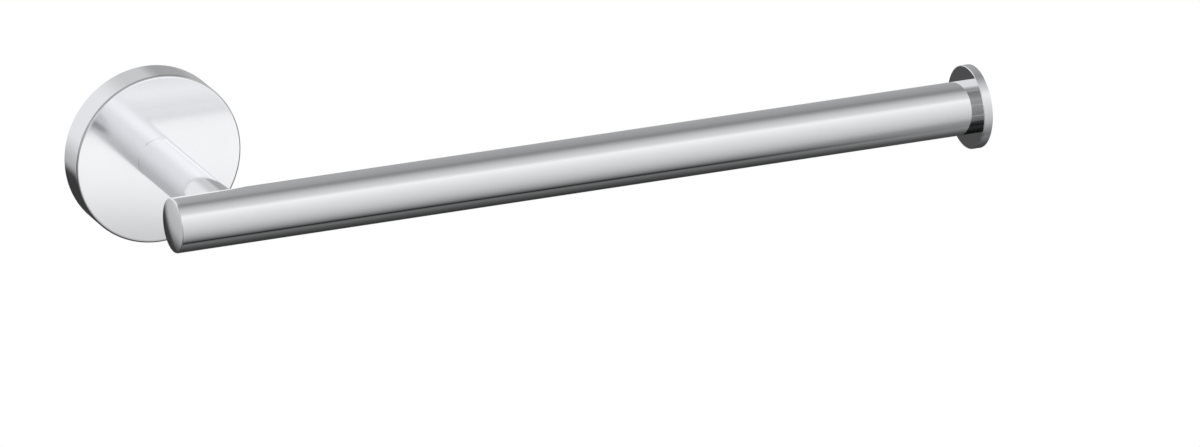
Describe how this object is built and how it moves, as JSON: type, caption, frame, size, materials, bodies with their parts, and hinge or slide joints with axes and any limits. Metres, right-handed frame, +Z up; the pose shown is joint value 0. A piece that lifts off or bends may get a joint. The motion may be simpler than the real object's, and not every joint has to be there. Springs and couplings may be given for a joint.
{
  "type": "paper towel holder",
  "caption": "Wall-mounted paper towel holder: a straight round bar carried at one end by a post on a round flange, with a small disc at its free end.",
  "frame": {"origin": "on the wall, at the middle of the flange, on the wall plate's back face", "axes": "+X along the bar towards its free end, +Y into the wall, +Z up"},
  "size_m": [0.328, 0.1126, 0.064],
  "materials": {
    "chrome": "polished chrome plate",
    "chrome_end": "chrome plate, polished faces and a finely lathe-brushed rim",
    "cast_hub": "plain die-cast metal, matt",
    "zinc_steel": "zinc-plated steel",
    "dark_steel": "blackened screw steel"
  },
  "bodies": {
    "root": {"wall_plate": "zinc_steel", "wall_screw_left": "zinc_steel", "wall_screw_right": "zinc_steel", "flange_cover": "chrome", "flange_hub": "cast_hub", "set_screw": "dark_steel", "lock_washer": "zinc_steel", "post_screw": "dark_steel", "locating_pin_upper": "zinc_steel", "locating_pin_lower": "zinc_steel", "post": "chrome", "bar_tube": "chrome", "bar_insert": "zinc_steel", "bar_end_cap": "chrome", "end_insert": "zinc_steel", "end_disc": "chrome_end", "disc_stud": "zinc_steel"}
  },
  "joints": []
}
